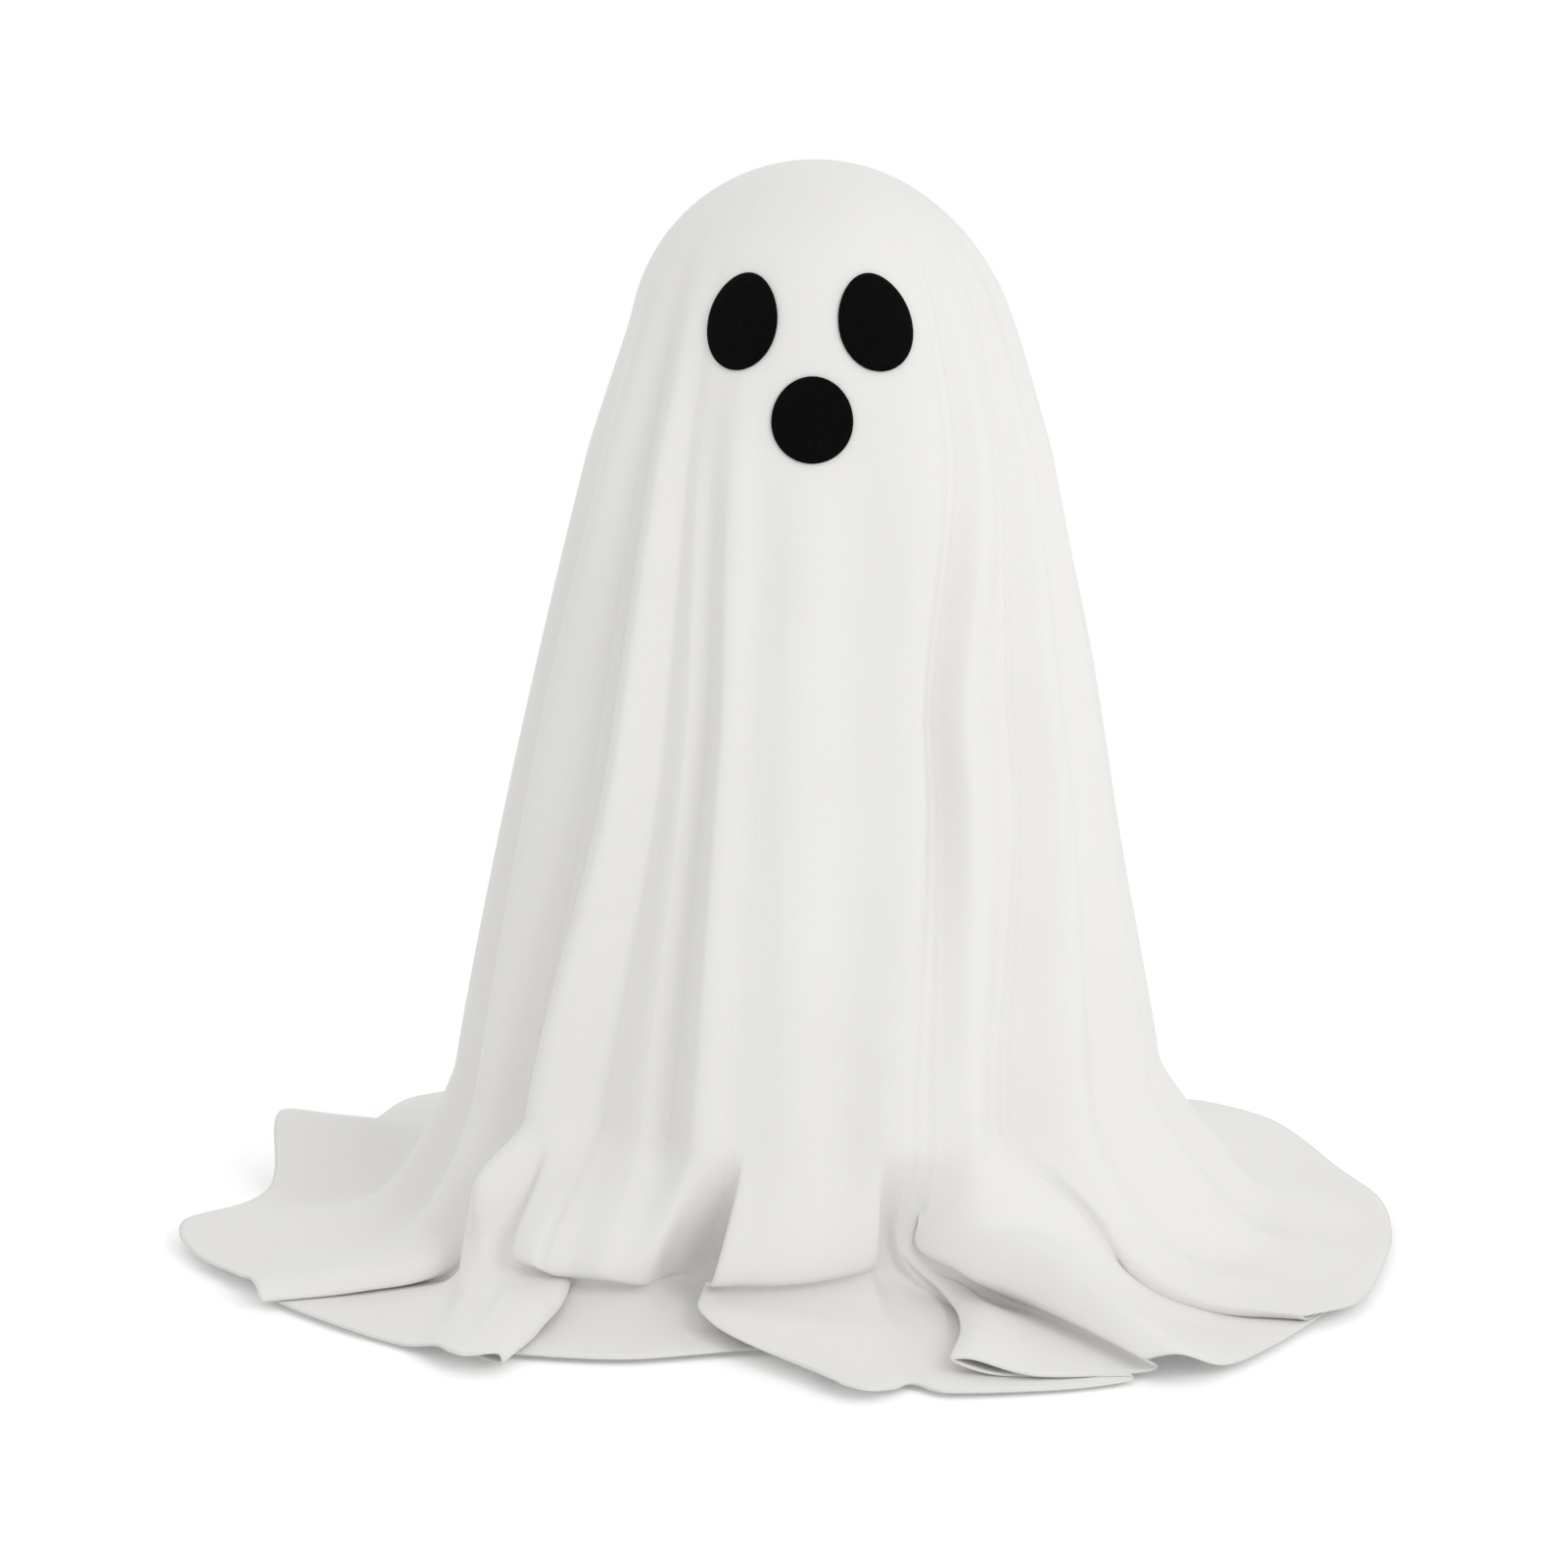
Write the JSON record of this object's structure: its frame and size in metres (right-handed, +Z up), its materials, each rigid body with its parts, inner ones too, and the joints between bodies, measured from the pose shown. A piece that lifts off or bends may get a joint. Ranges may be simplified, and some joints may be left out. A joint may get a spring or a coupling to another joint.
{
  "type": "light-up ghost figurine",
  "caption": "Standing sheet ghost draped over a battery base, a mast with a frosted lamp dome and a wire form; felt eyes and mouth, hem spread on the table.",
  "frame": {"origin": "centre of the base pad's underside, on the table under the mast's axis", "axes": "+Z up along the mast, the face looks along -Y, +X to the right in the picture"},
  "size_m": [0.3386, 0.3134, 0.3],
  "materials": {
    "white_plastic": "moulded ABS with a fine matt texture",
    "grey_plastic": "ribbed moulded knob",
    "black_foam": "closed-cell foam pad",
    "zinc_steel": "zinc-plated steel",
    "spring_steel": "nickel-plated spring wire",
    "white_wire": "powder-coated steel wire and tube",
    "cell_sleeve": "plain shrink sleeve",
    "board_green": "solder mask over glass-fibre board",
    "chip_black": "moulded package",
    "red_lead": "PVC insulation",
    "black_lead": "PVC insulation",
    "clear_lead": "PVC insulation",
    "led_amber": "tinted epoxy",
    "frosted_plastic": "frosted polypropylene",
    "white_cloth": "light woven polyester, matt",
    "black_felt": "pressed felt"
  },
  "bodies": {
    "lamp_and_form": {"base_pad": "black_foam", "base_cover": "white_plastic", "base_housing": "white_plastic", "cover_screw_1": "zinc_steel", "cover_screw_2": "zinc_steel", "cover_screw_3": "zinc_steel", "cover_screw_4": "zinc_steel", "battery_1": "cell_sleeve", "battery_2": "cell_sleeve", "battery_3": "cell_sleeve", "contact_spring_1": "spring_steel", "contact_spring_2": "spring_steel", "contact_spring_3": "spring_steel", "positive_plate": "zinc_steel", "negative_plate": "zinc_steel", "link_plate_right": "zinc_steel", "link_plate_left": "zinc_steel", "door_hinge_pin": "zinc_steel", "switch_body": "zinc_steel", "circuit_board": "board_green", "board_screw_1": "zinc_steel", "board_screw_2": "zinc_steel", "timer_chip": "chip_black", "series_resistor": "chip_black", "capacitor": "cell_sleeve", "battery_lead_red": "red_lead", "battery_lead_black": "black_lead", "lamp_lead": "clear_lead", "mast_tube": "white_wire", "mast_collar": "white_plastic", "mast_grub_screw": "zinc_steel", "head_plate": "frosted_plastic", "head_grub_screw": "zinc_steel", "led_board": "white_plastic", "led_1": "led_amber", "led_2": "led_amber", "led_3": "led_amber", "led_4": "led_amber", "led_diffuser": "frosted_plastic", "head_dome": "frosted_plastic", "frame_rib_1": "white_wire", "frame_rib_2": "white_wire", "frame_rib_3": "white_wire", "frame_rib_4": "white_wire", "frame_rib_5": "white_wire", "frame_rib_6": "white_wire", "middle_hoop": "white_wire", "lower_hoop": "white_wire"},
    "sheet": {"ghost_sheet": "white_cloth", "left_eye_patch": "black_felt", "right_eye_patch": "black_felt", "mouth_patch": "black_felt"},
    "door": {"battery_door": "white_plastic"},
    "switch_knob": {"power_switch": "grey_plastic"}
  },
  "joints": [
    {"name": "sheet_lift", "type": "slide", "parent": "lamp_and_form", "child": "sheet", "axis": [0, 0, 1], "range_m": [0, 0.3]},
    {"name": "battery_door_hinge", "type": "hinge", "parent": "lamp_and_form", "child": "door", "pos_m": [0, 0.0495, 0.0305], "axis": [-1, 0, 0], "range_deg": [0, 105]},
    {"name": "power_switch_slide", "type": "slide", "parent": "lamp_and_form", "child": "switch_knob", "axis": [1, 0, 0], "range_m": [0, 0.004]}
  ]
}
